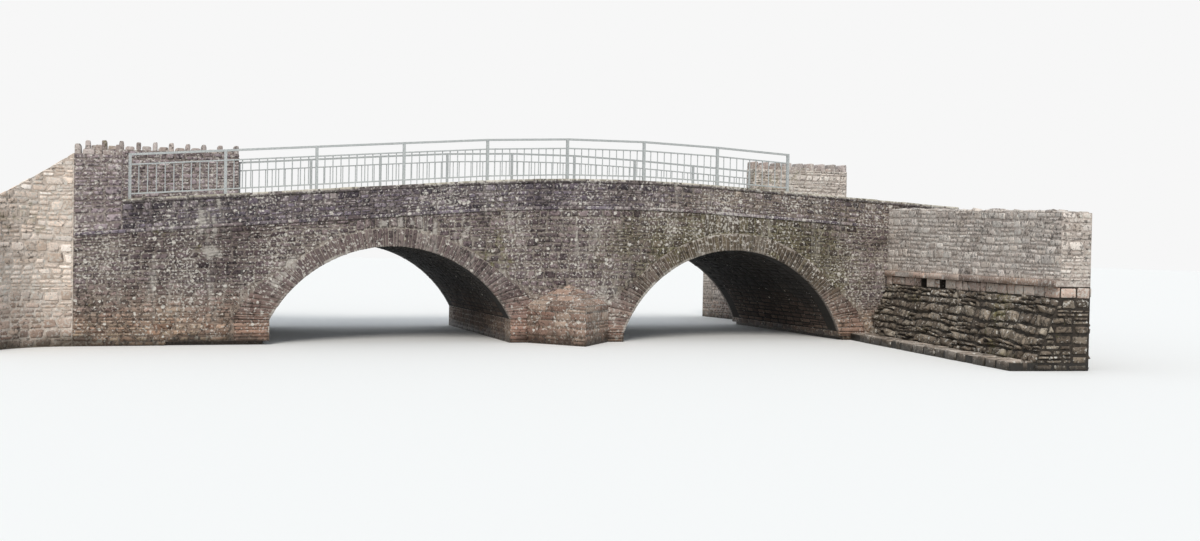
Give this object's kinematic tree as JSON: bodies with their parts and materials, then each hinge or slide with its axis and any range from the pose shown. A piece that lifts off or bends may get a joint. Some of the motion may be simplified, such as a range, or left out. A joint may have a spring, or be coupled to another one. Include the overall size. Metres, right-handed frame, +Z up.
{
  "type": "stone arch bridge",
  "caption": "Humped rubble stone arch bridge over a stream, with parapets, barred steel railings, pointed cutwaters and wing walls.",
  "frame": {"origin": "centre of the pier's foot, at water level and mid-width of the bridge", "axes": "+X along the bridge to the right seen from its front face, +Y across it away from the front face, +Z up"},
  "size_m": [16.2683, 12.7435, 3.36],
  "materials": {
    "pier_stone": "weathered pinkish sandstone rubble, damp and dark at the water",
    "vault_stone": "dark damp rubble soffit",
    "ring_stone": "thin upright arch stones, grey-beige with a pale soffit edge",
    "face_stone": "small coursed rubble, grey-brown with pale lime and lichen",
    "fill": "rubble and earth fill",
    "deck": "worn gravelly road surface",
    "string_stone": "flat through-stones, pale on the upper edge",
    "parapet_stone": "small dark purplish rubble",
    "coping_stone": "rough pale coping stones with lichen",
    "wing_stone": "lit pinkish and grey-lilac rubble",
    "drain_stone": "squared reddish blocks",
    "dry_stone": "rough dry-laid stones with open dark joints",
    "footing_stone": "flat worn footing stones, wet at the edge",
    "galvanised_steel": "dull galvanised steel"
  },
  "bodies": {
    "root": {"pier": "pier_stone", "cutwater_front": "pier_stone", "cutwater_back": "pier_stone", "abutment_left": "pier_stone", "abutment_right": "pier_stone", "vault_left": "vault_stone", "vault_right": "vault_stone", "ring_left_front": "ring_stone", "ring_left_back": "ring_stone", "ring_right_front": "ring_stone", "ring_right_back": "ring_stone", "spandrel_left_front": "face_stone", "spandrel_mid_front": "face_stone", "spandrel_right_front": "face_stone", "spandrel_left_back": "face_stone", "spandrel_mid_back": "face_stone", "spandrel_right_back": "face_stone", "rubble_fill": "fill", "road_deck": "deck", "string_front": "string_stone", "string_back": "string_stone", "parapet_front": "parapet_stone", "parapet_back": "parapet_stone", "coping_front": "coping_stone", "coping_back": "coping_stone", "high_wall_front": "parapet_stone", "high_wall_back_left": "parapet_stone", "high_wall_back_right": "parapet_stone", "cock_coping_front": "coping_stone", "cock_coping_back_left": "coping_stone", "cock_coping_back_right": "coping_stone", "wing_left_front": "wing_stone", "wing_left_back": "wing_stone", "wing_right_front": "wing_stone", "wing_right_back": "wing_stone", "drain_course": "drain_stone", "wing_ledge": "string_stone", "revetment": "dry_stone", "river_footing": "footing_stone", "railing_front_1": "galvanised_steel", "railing_front_2": "galvanised_steel", "railing_front_3": "galvanised_steel", "railing_front_4": "galvanised_steel", "railing_back_1": "galvanised_steel", "railing_back_2": "galvanised_steel", "railing_back_3": "galvanised_steel", "railing_back_4": "galvanised_steel"}
  },
  "joints": []
}
